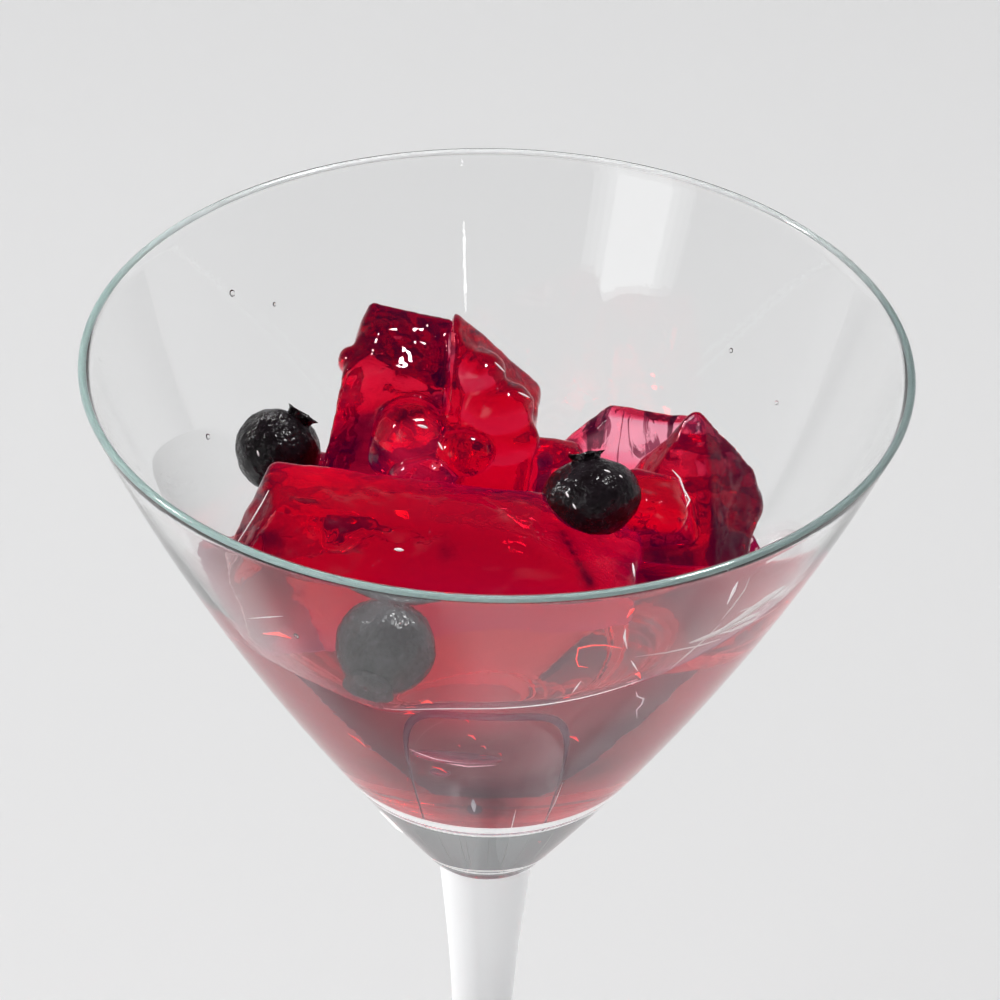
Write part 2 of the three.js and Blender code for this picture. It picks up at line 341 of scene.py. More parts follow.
# Painted glow, from nothing at 2 cm up to full at 8 cm up.
upper = mapped(white_glass, place_along(white_glass, "Z"), 0.02, 0.08)
glow = blended(white_glass, upper, (0, 0, 0), (0.24, 0.24, 0.242))
white_glass.node_tree.links.new(glow, shader.inputs["Emission Color"])
shader.inputs["Emission Strength"].default_value = 1.0
shader.inputs["Coat Weight"].default_value = 0.2
shader.inputs["Coat Roughness"].default_value = 0.25
add_unevenness(white_glass, shader, 90, 1500, 0.3, 0.00002, (0.3, 0.42))

# %% [markdown]
# The bowl is round about its stem, so it is drawn as half a section and spun. The section runs from
# the axis up the outer wall, over the rounded rim and down the inner wall to the axis again. The
# same few numbers as in the solids give the wall's curve.

# %% Bowl section
RIM_Z = 172.0
RIM_RADIUS = 54.0
JOINT_Z = RIM_Z - 78.0
JOINT_RADIUS = 6.5
BULGE = Vector((37.7, RIM_Z - 38.2))
BOWL_END = Vector((8.8, RIM_Z - 76.4))
RIM_WALL = 1.1
BASE_WALL = 2.4
HOLLOW_END = 0.785
FLOOR_TURN = 6.0
FLOOR_SAG = 0.5


def wall_point(t, inset):
    """A point of the wall's section: t runs from the rim, 0, to the end, 1; inset goes into the glass."""
    top, low = Vector((RIM_RADIUS, RIM_Z)), BOWL_END
    point = (1 - t) ** 2 * top + 2 * t * (1 - t) * BULGE + t * t * low
    along = ((1 - t) * (BULGE - top) + t * (low - BULGE)).normalized()
    return point + Vector((along.y, -along.x)) * inset, along


def wall_thickness(t):
    return RIM_WALL + (BASE_WALL - RIM_WALL) * t * t


def hollow_section(into_wall, side_steps=40, turn_steps=10):
    """The hollow's section from the axis up to the rim, moved by into_wall millimetres into the glass."""
    side = []
    for i in range(side_steps, -1, -1):
        t = HOLLOW_END * i / side_steps
        side.append(wall_point(t, wall_thickness(t) - into_wall)[0])
    along = wall_point(HOLLOW_END, 0)[1]
    radius = FLOOR_TURN + into_wall
    centre = side[0] + Vector((along.y, -along.x)) * radius
    start = math.pi / 2 - math.atan2(-along.y, along.x)
    turn = []
    for i in range(turn_steps):
        angle = -math.pi / 2 + (start + math.pi / 2) * i / turn_steps
        turn.append(centre + Vector((math.cos(angle), math.sin(angle))) * radius)
    return [Vector((0, turn[0].y - FLOOR_SAG))] + turn + side


def bowl_section(steps=44, rim_steps=8):
    outer = [wall_point(1 - i / steps, 0)[0] for i in range(steps + 1)]
    rim_centre = wall_point(0, RIM_WALL / 2)[0]
    start = outer[-1] - rim_centre
    rim = []
    for i in range(1, rim_steps):
        angle = math.pi * i / rim_steps
        rim.append(rim_centre + Vector((
            start.x * math.cos(angle) - start.y * math.sin(angle),
            start.x * math.sin(angle) + start.y * math.cos(angle))))
    joint, corner = Vector((JOINT_RADIUS, JOINT_Z)), Vector((BOWL_END.x - 1, JOINT_Z))
    bottom = [(1 - t) ** 2 * joint + 2 * t * (1 - t) * corner + t * t * outer[0]
              for t in (0, 0.2, 0.4, 0.6, 0.8)]
    return [Vector((0, JOINT_Z))] + bottom + outer + rim + hollow_section(0)[::-1]


# %% [markdown]
# To spin a section by hand, a plane is collapsed to one point, that point is extruded from place to
# place along the section, and the chain of edges is spun once round. Doubles on the axis and at the
# seam are merged, and the normals recalculated, because spinning can turn a shape inside out.

# %% Spin a section
def spun_piece(name, section, steps=144):
    deselect_all()
    first = section[0]
    bpy.ops.mesh.primitive_plane_add(size=MM, location=(first.x * MM, 0, first.y * MM))
    piece = bpy.context.object
    piece.name = piece.data.name = name
    bpy.ops.object.transform_apply(location=True, rotation=True, scale=True)
    bpy.ops.object.mode_set(mode="EDIT")
    bpy.ops.mesh.select_mode(type="VERT")
    bpy.ops.mesh.select_all(action="SELECT")
    bpy.ops.mesh.merge(type="COLLAPSE")
    for here, there in zip(section, section[1:]):
        move = ((there.x - here.x) * MM, 0, (there.y - here.y) * MM)
        bpy.ops.mesh.extrude_region_move(TRANSFORM_OT_translate={"value": move})
    bpy.ops.mesh.select_all(action="SELECT")
    bpy.ops.mesh.spin(steps=steps, angle=2 * math.pi, center=(0, 0, 0), axis=(0, 0, 1))
    bpy.ops.mesh.select_all(action="SELECT")
    bpy.ops.mesh.remove_doubles(threshold=2e-6)
    bpy.ops.mesh.normals_make_consistent(inside=False)
    bpy.ops.object.mode_set(mode="OBJECT")
    bpy.ops.object.shade_smooth_by_angle(angle=math.radians(35))
    return piece


def finish_piece(piece, material, slot, *nodes):
    piece.data.materials.clear()
    piece.data.materials.append(material)
    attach(piece, "root")
    if nodes:
        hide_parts(*nodes)
    print(piece.name, len(piece.data.polygons), "faces")


bowl = spun_piece("bowl", bowl_section())
finish_piece(bowl, clear_glass, "clear_glass", "glass_bowl")

# %% [markdown]
# Seen on edge, clear glass is sea green: light runs a long way inside the wall before it comes out at the
# rim. Tracing all those reflections is slow, so a thin green ring lies inside the rounded rim as a painted
# stand-in for that light, and the rim magnifies it to its full width. As in the photograph, it is greyer at
# the right, a painted shade, and pale with a painted glow at the back.

# %% Green ring in the rim
def ring_section(centre, radius, steps=8):
    return [centre + Vector((math.cos(a), math.sin(a))) * radius
            for a in (2 * math.pi * i / steps for i in range(steps + 1))]


rim_green, shader = node_material("rim_green")
add_unevenness(rim_green, shader, 40, 300, 0.4, 0.00002, (0.25, 0.45))
links = rim_green.node_tree.links
# Painted shade towards the right and a painted pale glow towards the back.
right = mapped(rim_green, place_along(rim_green, "X"), 0.0, 0.055)
back = mapped(rim_green, place_along(rim_green, "Y"), 0.015, 0.05)
tint = blended(rim_green, right, (0.72, 0.95, 0.91), (0.4, 0.52, 0.51))
links.new(blended(rim_green, back, tint, (0.98, 1.0, 1.0)), shader.inputs["Base Color"])
links.new(blended(rim_green, back, (0, 0, 0), (0.3, 0.3, 0.3)), shader.inputs["Emission Color"])
shader.inputs["Emission Strength"].default_value = 1.0
rim_ring = spun_piece("rim_ring", ring_section(wall_point(0, RIM_WALL / 2)[0], 0.3))
finish_piece(rim_ring, rim_green, "clear_glass")

# %% [markdown]
# The stem is drawn the same way: two smooth curves, one that narrows below the bowl and one that flares
# out to the foot. The foot's edge is rounded. Its top reaches a hair into the bowl, so that no film
# of air shows between white and clear glass.

# %% Stem and foot
STEM_RADIUS = 3.8
STEM_SLIM_Z = 52.0
FOOT_RADIUS = 36.0
FOOT_EDGE = 2.0


def smooth_run(a, b, c, d, steps):
    run = []
    for i in range(steps + 1):
        t = i / steps
        weights = ((1 - t) ** 3, 3 * t * (1 - t) ** 2, 3 * t * t * (1 - t), t ** 3)
        run.append(sum((Vector(p) * w for p, w in zip((a, b, c, d), weights)), Vector((0, 0))))
    return run


neck = smooth_run((JOINT_RADIUS, JOINT_Z), (JOINT_RADIUS - 1.2, JOINT_Z - 12),
                  (STEM_RADIUS, JOINT_Z - 22), (STEM_RADIUS, STEM_SLIM_Z), 24)
flare = smooth_run((STEM_RADIUS, STEM_SLIM_Z), (STEM_RADIUS, 6), (STEM_RADIUS + 5, 5.6),
                   (FOOT_RADIUS - 0.4, FOOT_EDGE), 40)
edge = [Vector((FOOT_RADIUS - 0.6, 0)), Vector((FOOT_RADIUS - 0.15, 0.35)), Vector((FOOT_RADIUS, 1.0)),
        Vector((FOOT_RADIUS - 0.1, 1.6))]
stem_section = [Vector((0, 0))] + edge + flare[::-1] + neck[::-1][1:] + [Vector((0, JOINT_Z + 0.05))]
stem = spun_piece("stem_and_foot", stem_section, steps=96)
finish_piece(stem, white_glass, "white_glass", "glass_stem")

# %% [markdown]
# Below the lumps the cone is still full of jelly. Its piece is the hollow of the bowl, reaching a hair into
# the wall so that no air gap shows, cut off by the uneven level. The level is a grid shaped by
# a smooth function: high at the front, where it meets the wall as a thin line, and lower behind.

# %% Jelly that fills the cone
LEVEL_Z = RIM_Z - 25.4
LEVEL_FALL = 10.0
FALL_START, FALL_RUN, FALL_SLANT = -14.0, 24.0, 0.2
LEVEL_LEAN = 0.065
LEVEL_BOW = 0.005
MOUND = dict(x=-5.0, y=-4.0, rise=10.0, spread=14.0)
DIP = dict(x=-12.5, y=-33.0, rise=-3.4, spread=5.0)
WALL_AT_LEVEL = 40.4
WALL_SLOPE = 0.6
CREEP = 0.7
INTO_WALL = 0.06
BLOCK_WIDTH, BLOCK_DEPTH = 110.0, 90.0


def level_at(x, y):
    share = min(1, max(0, (y + FALL_SLANT * x - FALL_START) / FALL_RUN))
    back = share * share * (3 - 2 * share)
    level = LEVEL_Z + LEVEL_LEAN * x - LEVEL_FALL * back + LEVEL_BOW * max(0, x) ** 2 * (1 - back)
    for hill in (MOUND, DIP):
        off = math.hypot(x - hill["x"], y - hill["y"]) / hill["spread"]
        level += hill["rise"] * math.exp(-off * off / 2)
    to_wall = WALL_AT_LEVEL + WALL_SLOPE * (level - LEVEL_Z) - math.hypot(x, y)
    return level + CREEP * math.exp(-abs(to_wall) / CREEP)


def block_under_level(name, raise_mm):
    """A square block with the uneven level as its top."""
    deselect_all()
    bpy.ops.mesh.primitive_grid_add(x_subdivisions=200, y_subdivisions=200, size=BLOCK_WIDTH * MM)
    block = bpy.context.object
    block.name = name
    for vertex in block.data.vertices:
        x, y = vertex.co.x / MM, vertex.co.y / MM
        vertex.co.z = (level_at(x, y) + raise_mm) * MM
    bpy.ops.object.mode_set(mode="EDIT")
    bpy.ops.mesh.select_all(action="SELECT")
    bpy.ops.mesh.extrude_region_move(TRANSFORM_OT_translate={"value": (0, 0, -BLOCK_DEPTH * MM)})
    bpy.ops.mesh.select_all(action="SELECT")
    bpy.ops.mesh.normals_make_consistent(inside=False)
    bpy.ops.object.mode_set(mode="OBJECT")
    return block


def apply_modifier(piece, kind, **settings):
    bpy.context.view_layer.objects.active = piece
    modifier = piece.modifiers.new(kind.lower(), kind)
    for key, value in settings.items():
        setattr(modifier, key, value)
    bpy.ops.object.modifier_apply(modifier=modifier.name)


def smooth_faces(piece, degrees=40):
    """All faces smooth, with sharp edges kept: clear pieces need one kind of shading all over."""
    deselect_all()
    bpy.context.view_layer.objects.active = piece
    piece.select_set(True)
    bpy.ops.object.shade_smooth_by_angle(angle=math.radians(degrees))


def combine(piece, other, operation):
    apply_modifier(piece, "BOOLEAN", object=other, operation=operation, solver="MANIFOLD")


hollow_top = hollow_section(INTO_WALL)
filling = spun_piece("jelly_filling", hollow_top + [Vector((0, hollow_top[-1].y))])
level_block = block_under_level("level_block", 0.0)
combine(filling, level_block, "INTERSECT")
bpy.data.objects.remove(level_block)

# %% [markdown]
# A broken lump of jelly is a block with a few cut faces. By hand it is a cube, bisected along each face,
# with the outer side cleared and the cut filled. The edges are rounded with a bevel, the block is
# remeshed to small even cells and smoothed, and noise then makes its faces swell and dip.

# %% Shape a broken lump
UNCUT_SIZE = 120.0


def towards(azimuth, elevation):
    a, e = math.radians(azimuth), math.radians(elevation)
    return Vector((math.cos(e) * math.cos(a), math.cos(e) * math.sin(a), math.sin(e)))


def swell(piece, scale_mm, strength_mm, depth=2, group=""):
    """Noise makes the faces swell and dip, all over or as far as a vertex group lets it."""
    texture = bpy.data.textures.new(piece.name + "_swell", "CLOUDS")
    texture.noise_scale, texture.noise_depth = scale_mm * MM, depth
    apply_modifier(piece, "DISPLACE", texture=texture, texture_coords="LOCAL", vertex_group=group,
                   strength=strength_mm * MM, mid_level=0.5)


def broken_lump(name, centre, cuts, edge=1.2):
    deselect_all()
    centre = Vector(centre) * MM
    bpy.ops.mesh.primitive_cube_add(size=UNCUT_SIZE * MM, location=centre)
    lump = bpy.context.object
    lump.name = lump.data.name = name
    bpy.ops.object.transform_apply(location=True, rotation=True, scale=True)
    bpy.ops.object.mode_set(mode="EDIT")
    for azimuth, elevation, distance, shade in cuts:
        normal = towards(azimuth, elevation)
        bpy.ops.mesh.select_all(action="SELECT")
        bpy.ops.mesh.bisect(plane_co=centre + normal * distance * MM, plane_no=normal,
                            use_fill=True, clear_outer=True)
    bpy.ops.object.mode_set(mode="OBJECT")
    apply_modifier(lump, "BEVEL", width=edge * MM, segments=3, limit_method="ANGLE",
                   angle_limit=math.radians(8))
    return lump


def ball(name, centre, radii):
    """A ball stretched to three radii, for bulges and for bubbles."""
    deselect_all()
    bpy.ops.mesh.primitive_ico_sphere_add(subdivisions=4, radius=MM)
    made = bpy.context.object
    made.name = made.data.name = name
    made.scale, made.location = radii, Vector(centre) * MM
    bpy.ops.object.transform_apply(location=True, rotation=True, scale=True)
    return made


# %% [markdown]
# Which face of a lump a point lies on is found from its cuts again: the cut that reaches furthest out.
# A little noise makes the borders between faces ragged. Spots then add painted glow or painted shade in
# small round patches. The result is stored at each point as the shade: painted shade above nought,
# painted glow below.

# %% Shade of the broken faces
RAGGED_SCALE = 0.35
FACE_SHIFT = (7.3, 3.1, 5.7)
SPOT_REACH = 2.5


def seen_behind(x, y, pieces):
    """The first point of the pieces on the line from the camera through x, y in the rim's plane."""
    start = camera.matrix_world.translation
    way = (Vector((x, y, RIM_Z)) * MM - start).normalized()
    hits = [point for found, point, _, _ in (piece.ray_cast(start, way) for piece in pieces) if found]
    return min(hits, key=lambda point: (point - start).length) / MM if hits else None


def set_shade(piece, specs, spots=(), ragged=0.5, blend=0.2):
    lumps = []
    for spec in specs:
        lumps.append((Vector(spec["centre"]), [
            (towards(a, e), d, shade, Vector([step * i for step in FACE_SHIFT]))
            for i, (a, e, d, shade) in enumerate(spec["cuts"])]))
    values = []
    for vertex in piece.data.vertices:
        at = vertex.co / MM
        value, nearest = 0.0, None
        for centre, planes in lumps:
            reach = [normal.dot(at - centre) - distance + ragged * noise.noise(at * RAGGED_SCALE + shift)
                     for normal, distance, shade, shift in planes]
            furthest = max(reach)
            if nearest is None or abs(furthest) < nearest:
                nearest = abs(furthest)
                weights = [math.exp((r - furthest) / blend) for r in reach]
                value = sum(w * plane[2] for w, plane in zip(weights, planes)) / sum(weights)
        for middle, radius, shade in spots:
            off = (at - middle).length / radius
            if off < SPOT_REACH:
                value += shade * math.exp(-off * off)
        values.append(value)
    layer = piece.data.attributes.new("shade", "FLOAT", "POINT")
    layer.data.foreach_set("value", values)


# %% [markdown]
# Some air is shut in the jelly behind the front wall: a flat split and a few bubbles. They are hollows,
# so a stretched ball is taken out of the filling for each. Light is thrown back inside them, which gives
# the pink patch; the red sparks near them are painted highlights, drawn further below.

# %% Bubbles in the filling
BUBBLES = (((-3.8, -30.6, 133.6), (5.6, 1.0, 1.5)), ((-1.4, -20.5, 118.6), (1.0, 1.0, 1.4)),
           ((-5.8, -27.6, 129.0), (1.3, 0.6, 0.9)))
# Painted light on the filling, as spots of x, y, z from the rim, size and shade: a faint painted glow all
# through, painted shade low in the cone, inside the arch and in the gap at the right, and painted glow at
# the sides of the level and at its front.
FILLING_SPOTS = ((0, 0, -40, 60, -0.2), (-0.5, -35, -34, 7, 0.75), (-0.5, -27, -45, 7, 0.75),
                 (-0.5, -22, -53, 7, 1.2), (13, -25, -44, 7, 1.0), (17, -31, -34, 6, 0.7),
                 (-12, -24, -46, 6, 0.8), (22, -15, -21, 5, 1.2), (18, -17, -22, 4, 1.0),
                 (-3, -37, -25.4, 6, -1.3), (30, -18, -22, 13, -0.7), (24, -4, -30, 10, -0.6),
                 (-30, -16, -24, 11, -0.6))
for centre, radii in BUBBLES:
    bubble = ball("bubble", centre, radii)
    combine(filling, bubble, "DIFFERENCE")
    bpy.data.objects.remove(bubble)
smooth_faces(filling)
set_shade(filling, [], [(Vector((x, y, RIM_Z + z)), size, shade) for x, y, z, size, shade in FILLING_SPOTS])
finish_piece(filling, still_jelly, "red_jelly", "jelly_base")

# %% [markdown]
# The lumps are the slab at the front, the peak with a lobe and a nub against it, the shard at the right
# with a thin fin behind it, and small bits between them. Each lists its cut faces by the way they
# look, in degrees, their distance from the lump's centre in millimetres, and their shade: painted shade
# above nought, painted glow below.

# %% Cut faces of the lumps
LUMPS = {
    "jelly_peak": dict(
        centre=(-12, 9, RIM_Z - 12),
        cuts=((-84, 18, 5.8, 0), (170, 10, 8.2, 0.1), (85, 12, 8.6, 0), (-5, 3, 6.3, 0.5),
              (-30, 75, 9.6, 0.75), (200, 55, 10.9, 0.8), (-48, 57, 7.4, 0.7), (-78, -14, 4.0, 0.95),
              (0, -90, 24, 0)),
        edge=0.7),
    "jelly_slab": dict(
        centre=(-8, -17, RIM_Z - 18),
        cuts=((-90, 20, 7.2, 0), (90, 10, 7.6, 0), (0, 84, 7.4, -0.08), (186, 34, 22.2, 0.7),
              (190, -20, 24.6, 0.3), (-10, 61, 11.6, -0.12), (150, 10, 22, 0.2), (-5, 0, 26.6, 0.0),
              (-40, 35, 20.6, -0.2), (0, -90, 13, 0)),
        edge=0.8),
    "jelly_lobe": dict(
        centre=(-0.5, 6, RIM_Z - 12),
        cuts=((-95, 8, 6, 0), (180, 6, 6.6, 0.3), (85, 5, 7, 0), (0, -10, 6, 0.3), (0, 46, 5.4, 0.1),
              (-70, 42, 6.4, 0.0), (0, -90, 24, 0)),
        edge=2.0),
    "jelly_shard": dict(
        centre=(25, 1, RIM_Z - 22),
        cuts=((-95, 40, 4.0, 0.25), (-85, 0, 10, 0.95), (-30, 28, 5.2, 0.9), (0, 15, 9.4, 0.9),
              (0, -35, 10.6, 0.8), (180, 35, 6.5, 0.2), (185, 0, 8, 0), (90, 10, 7, 0), (0, -90, 18, 0)),
        edge=0.6),
    "jelly_fin": dict(
        centre=(17, 14, RIM_Z - 22),
        cuts=((-95, 25, 1.8, -0.5), (85, -18, 1.8, -0.3), (180, 50, 5, 0), (180, 5, 11, 0),
              (0, 88, 5.0, 0.4), (0, 0, 10, 0), (0, -90, 16, 0)),
        edge=0.5),
    "jelly_chip": dict(
        centre=(7.5, 8, RIM_Z - 21),
        cuts=((-90, 15, 3, 0), (0, 10, 4.5, 0), (90, 10, 3, 0), (180, 0, 5, 0), (0, 80, 4.2, 0),
              (0, -90, 16, 0)),
        edge=1.6),
    "jelly_lump": dict(
        centre=(21, -7, RIM_Z - 17.5),
        cuts=((-90, 20, 4.6, 0), (0, 15, 4.2, 0.2), (90, 10, 5, 0), (180, 0, 4.2, 0), (0, 80, 4, 0.3),
              (-85, -40, 3.2, 0.9), (0, -90, 7, 0.9)),
        edge=1.6),
    "jelly_nub": dict(
        centre=(-11, 1.6, RIM_Z - 12.2),
        cuts=((-90, 10, 4.2, 0), (0, 10, 4.4, 0.2), (90, 10, 5, 0), (180, 0, 4.4, 0.2), (-70, 60, 4.4, 0),
              (0, 80, 4, 0), (0, -90, 22, 0)),
        edge=3.0),
    "jelly_ledge": dict(
        centre=(-25, 14, RIM_Z - 33),
        cuts=((-90, 10, 9, 0), (0, 10, 8, 0), (90, 10, 9, 0), (180, 10, 6.4, 0), (0, 80, 5, 0.2),
              (0, -90, 8, 0)),
        edge=1.6),
}

# %% [markdown]
# Broken jelly sticks together, and juice rounds the creases. So lumps that lie against each other are
# joined to one mass with a few bulges, remeshed to small even cells and smoothed: each crease becomes a
# small hollow that catches the light. A mass reaches a hair into what it lies on, because an air gap
# would turn the face dark, and it is cut by slightly shrunken copies of the masses before it.

# %% Masses of jelly
CONTACT = 0.08
MASS_SWELLS = ((8, 1.3), (2.5, 0.18))
TORN_GRAIN, TORN_DEPTH = 1.4, 0.15
ROUND_LUMPS = {"jelly_nub": (5.2, 5.0, 4.8)}
# The spots of a mass paint light, each at the point seen behind x, y of the rim's plane, with a size and a
# shade: painted shade under the peak's face, along the crease between peak and lobe, along the slab's right
# end and in the gap by the shard, and painted glow on the nub, the peak's face and the slab's ends.
MASSES = {
    "peak_mass": dict(
        nodes=("jelly_peak", "jelly_lobe", "jelly_nub", "jelly_chip", "jelly_ledge"),
        bulges=(((-2.4, 5.4, -4.6), (3.6, 3.8, 3.0)), ((0.2, 3.0, -8.4), (5.0, 4.0, 3.6)),
                ((1.4, 2.0, -12.6), (4.8, 3.6, 3.4)), ((-4, -1.3, -12.8), (3.8, 3.2, 3.0)),
                ((-19.3, 8, -5), (1.5, 1.8, 1.7)), ((-9.2, -3.6, -15.5), (4.2, 3.0, 3.0)),
                ((-13.4, 0.2, -14.0), (3.4, 3.2, 3.4))),
        spots=((-14.6, -11.6, 1.2, 1.0), (-16.4, -14.6, 1.4, 1.1), (-18.2, -18.2, 1.7, 1.2),
               (-20.4, -22.2, 2.0, 1.2), (-17.2, -22.6, 1.8, 1.1), (-2.0, -3.0, 5.0, 0.3),
               (-10.6, -18.4, 4.2, -1.2), (-18.0, -9.0, 4.0, -0.35),
               (-6.7, 11.1, 0.8, 0.9), (-6.2, 6.9, 0.9, 1.0), (-5.8, 3.3, 0.9, 1.1), (-6.3, -0.3, 0.9, 1.1),
               (-7.2, -4.0, 1.0, 1.2), (-7.1, -8.7, 1.0, 1.2), (-8.4, -10.6, 1.0, 1.2),
               (-10.3, -11.7, 1.0, 1.2), (-12.2, -12.7, 1.0, 1.2))),
    "slab_mass": dict(nodes=("jelly_slab",), bulges=(), rough=0.4,
                      spots=((-24.5, -60, 6, -0.4), (-28.5, -40.4, 2, 0.7), (-26.9, -41.4, 1.8, 0.7),
                             (-28.1, -36.6, 1.6, -0.5), (-5.6, -43.0, 1.4, 0.6),
                             (8.7, -38.4, 0.9, 1.0), (9.3, -40.5, 0.9, 1.1), (10.0, -42.7, 0.9, 1.1),
                             (10.7, -44.9, 0.9, 1.1), (11.4, -47.2, 0.9, 1.1), (12.1, -49.1, 0.9, 1.0),
                             (14.5, -45.1, 2.6, -0.3))),
    "shard_mass": dict(
        nodes=("jelly_shard", "jelly_lump"),
        bulges=(((19, -9.5, -14.8), (2.2, 2.4, 1.8)), ((22.5, -9, -16.5), (2.8, 3.4, 2.6))),
        spots=((19.4, -49.3, 2.6, 1.3), (21.3, -45.9, 2.6, 1.3), (20.1, -43.8, 2.2, 1.3),
               (23.1, -43.7, 2.4, 1.2))),
    "fin_mass": dict(nodes=("jelly_fin",), bulges=()),
}


def shrunken_copy(piece, by_mm):
    copy = piece.copy()
    copy.data = piece.data.copy()
    scene.collection.objects.link(copy)
    deselect_all()
    apply_modifier(copy, "DISPLACE", strength=-by_mm * MM, mid_level=0.0)
    return copy


def jelly_mass(name, nodes, bulges, cell=0.4, smooth=6):
    mass = broken_lump(name, **LUMPS[nodes[0]])
    parts = [broken_lump("part", **LUMPS[node]) for node in nodes[1:] if node not in ROUND_LUMPS]
    parts += [ball("part", LUMPS[node]["centre"], ROUND_LUMPS[node])
              for node in nodes if node in ROUND_LUMPS]
    parts += [ball("part", (x, y, RIM_Z + z), radii) for (x, y, z), radii in bulges]
    for part in parts:
        combine(mass, part, "UNION")
        bpy.data.objects.remove(part)
    apply_modifier(mass, "REMESH", mode="VOXEL", voxel_size=cell * MM)
    apply_modifier(mass, "SMOOTH", factor=0.5, iterations=smooth)
    for scale, strength in MASS_SWELLS:
        swell(mass, scale, strength)
    return mass


def roughen(piece, scale_mm, strength_mm):
    """Torn faces, the ones with painted shade or painted glow, are rougher than the cut ones."""
    torn = piece.vertex_groups.new(name="torn")
    for vertex, shade in zip(piece.data.vertices, piece.data.attributes["shade"].data):
        torn.add([vertex.index], min(1, abs(shade.value)), "REPLACE")
    swell(piece, scale_mm, strength_mm, 3, torn.name)


ROOM_GAP, ROOM_FLARE, ROOM_OVER_RIM = 0.25, 8, 20.0
room_side = hollow_section(-ROOM_GAP)
room_top = room_side[-1]
room_lid = [room_top + Vector((ROOM_FLARE, ROOM_OVER_RIM)), Vector((0, room_top.y + ROOM_OVER_RIM))]
room = spun_piece("room_in_glass", room_side + room_lid, 96)
floor_block = block_under_level("floor_block", -CONTACT)
cutters = []
for name, spec in MASSES.items():
    mass = jelly_mass(name + "_piece", spec["nodes"], spec["bulges"])
    core = shrunken_copy(mass, CONTACT)
    combine(mass, room, "INTERSECT")
    combine(mass, floor_block, "DIFFERENCE")
    for cutter in cutters:
        combine(mass, cutter, "DIFFERENCE")
    cutters.append(core)
    spots = [(seen_behind(x, y, [mass]), size, shade) for x, y, size, shade in spec.get("spots", ())]
    set_shade(mass, [LUMPS[node] for node in spec["nodes"]], [spot for spot in spots if spot[0]])
    roughen(mass, TORN_GRAIN, spec.get("rough", TORN_DEPTH))
    smooth_faces(mass)
    looks = split_jelly if name == "fin_mass" else red_jelly
    finish_piece(mass, looks, "red_jelly", *spec["nodes"])
for helper in cutters + [room, floor_block]:
    bpy.data.objects.remove(helper)

# %% [markdown]
# The berries are nearly black. A thin waxy bloom lies on their skin and is rubbed off in patches. The front
# berry is seen through the pale veil of the wall, and its skin is painted several times lighter as a
# painted reflection of that veil.

# %% Berry skin
def berry_material(name, bare, bloom):
    """Dark skin under a thin waxy bloom that is rubbed off in patches."""
    material, shader = node_material(name)
    shader.inputs["Specular IOR Level"].default_value = 0.3
    group = add_unevenness(material, shader, 300, 1400, 0.5, 0.0005, (0.12, 0.34))
    rubbed = mapped(material, group.outputs["Height"], 0.35, 0.6)
    material.node_tree.links.new(blended(material, rubbed, bare, bloom), shader.inputs["Base Color"])
    return material


berry_skin = berry_material("berry_skin", (0.006, 0.003, 0.004), (0.016, 0.011, 0.014))
# Painted reflection: the front berry's skin is several times lighter.
painted_veil_skin = berry_material("painted_veil_skin", (0.05, 0.047, 0.052), (0.11, 0.108, 0.115))
print("berry skins:", berry_skin.name, "and", painted_veil_skin.name)

# %% [markdown]
# The berries are small and round, with fine wrinkles and the dry tuft of their flower at one end. A berry
# starts as a ball and is pressed flat along its axis. Its top faces are extruded up and out, and then in
# again, to a ragged crown.

# %% Berries
CROWN_POINTS = 5
CROWN_STEPS = ((0.07, 1.08), (0.07, 1.06), (-0.11, 0.72))
CROWN_RISE, CROWN_HEART, CROWN_RAGGED = 0.06, 0.2, 0.2
BERRY_SWELLS = ((5, 0.6), (1.6, 0.35))
BERRIES = {
    "berry_left": dict(centre=(-29, 15.6, RIM_Z - 24.4), axis=(0.7, 0.5, 1), radius=5.9),
    "berry_right": dict(centre=(12.6, -10, RIM_Z - 13.6), axis=(-0.2, 0.6, 1), radius=6.4, flat=0.82),
    "berry_front": dict(centre=(-13.2, -30.6, RIM_Z - 22.8), axis=(-0.3, -0.85, -0.45), radius=6.4,
                        crown=0.46),
}


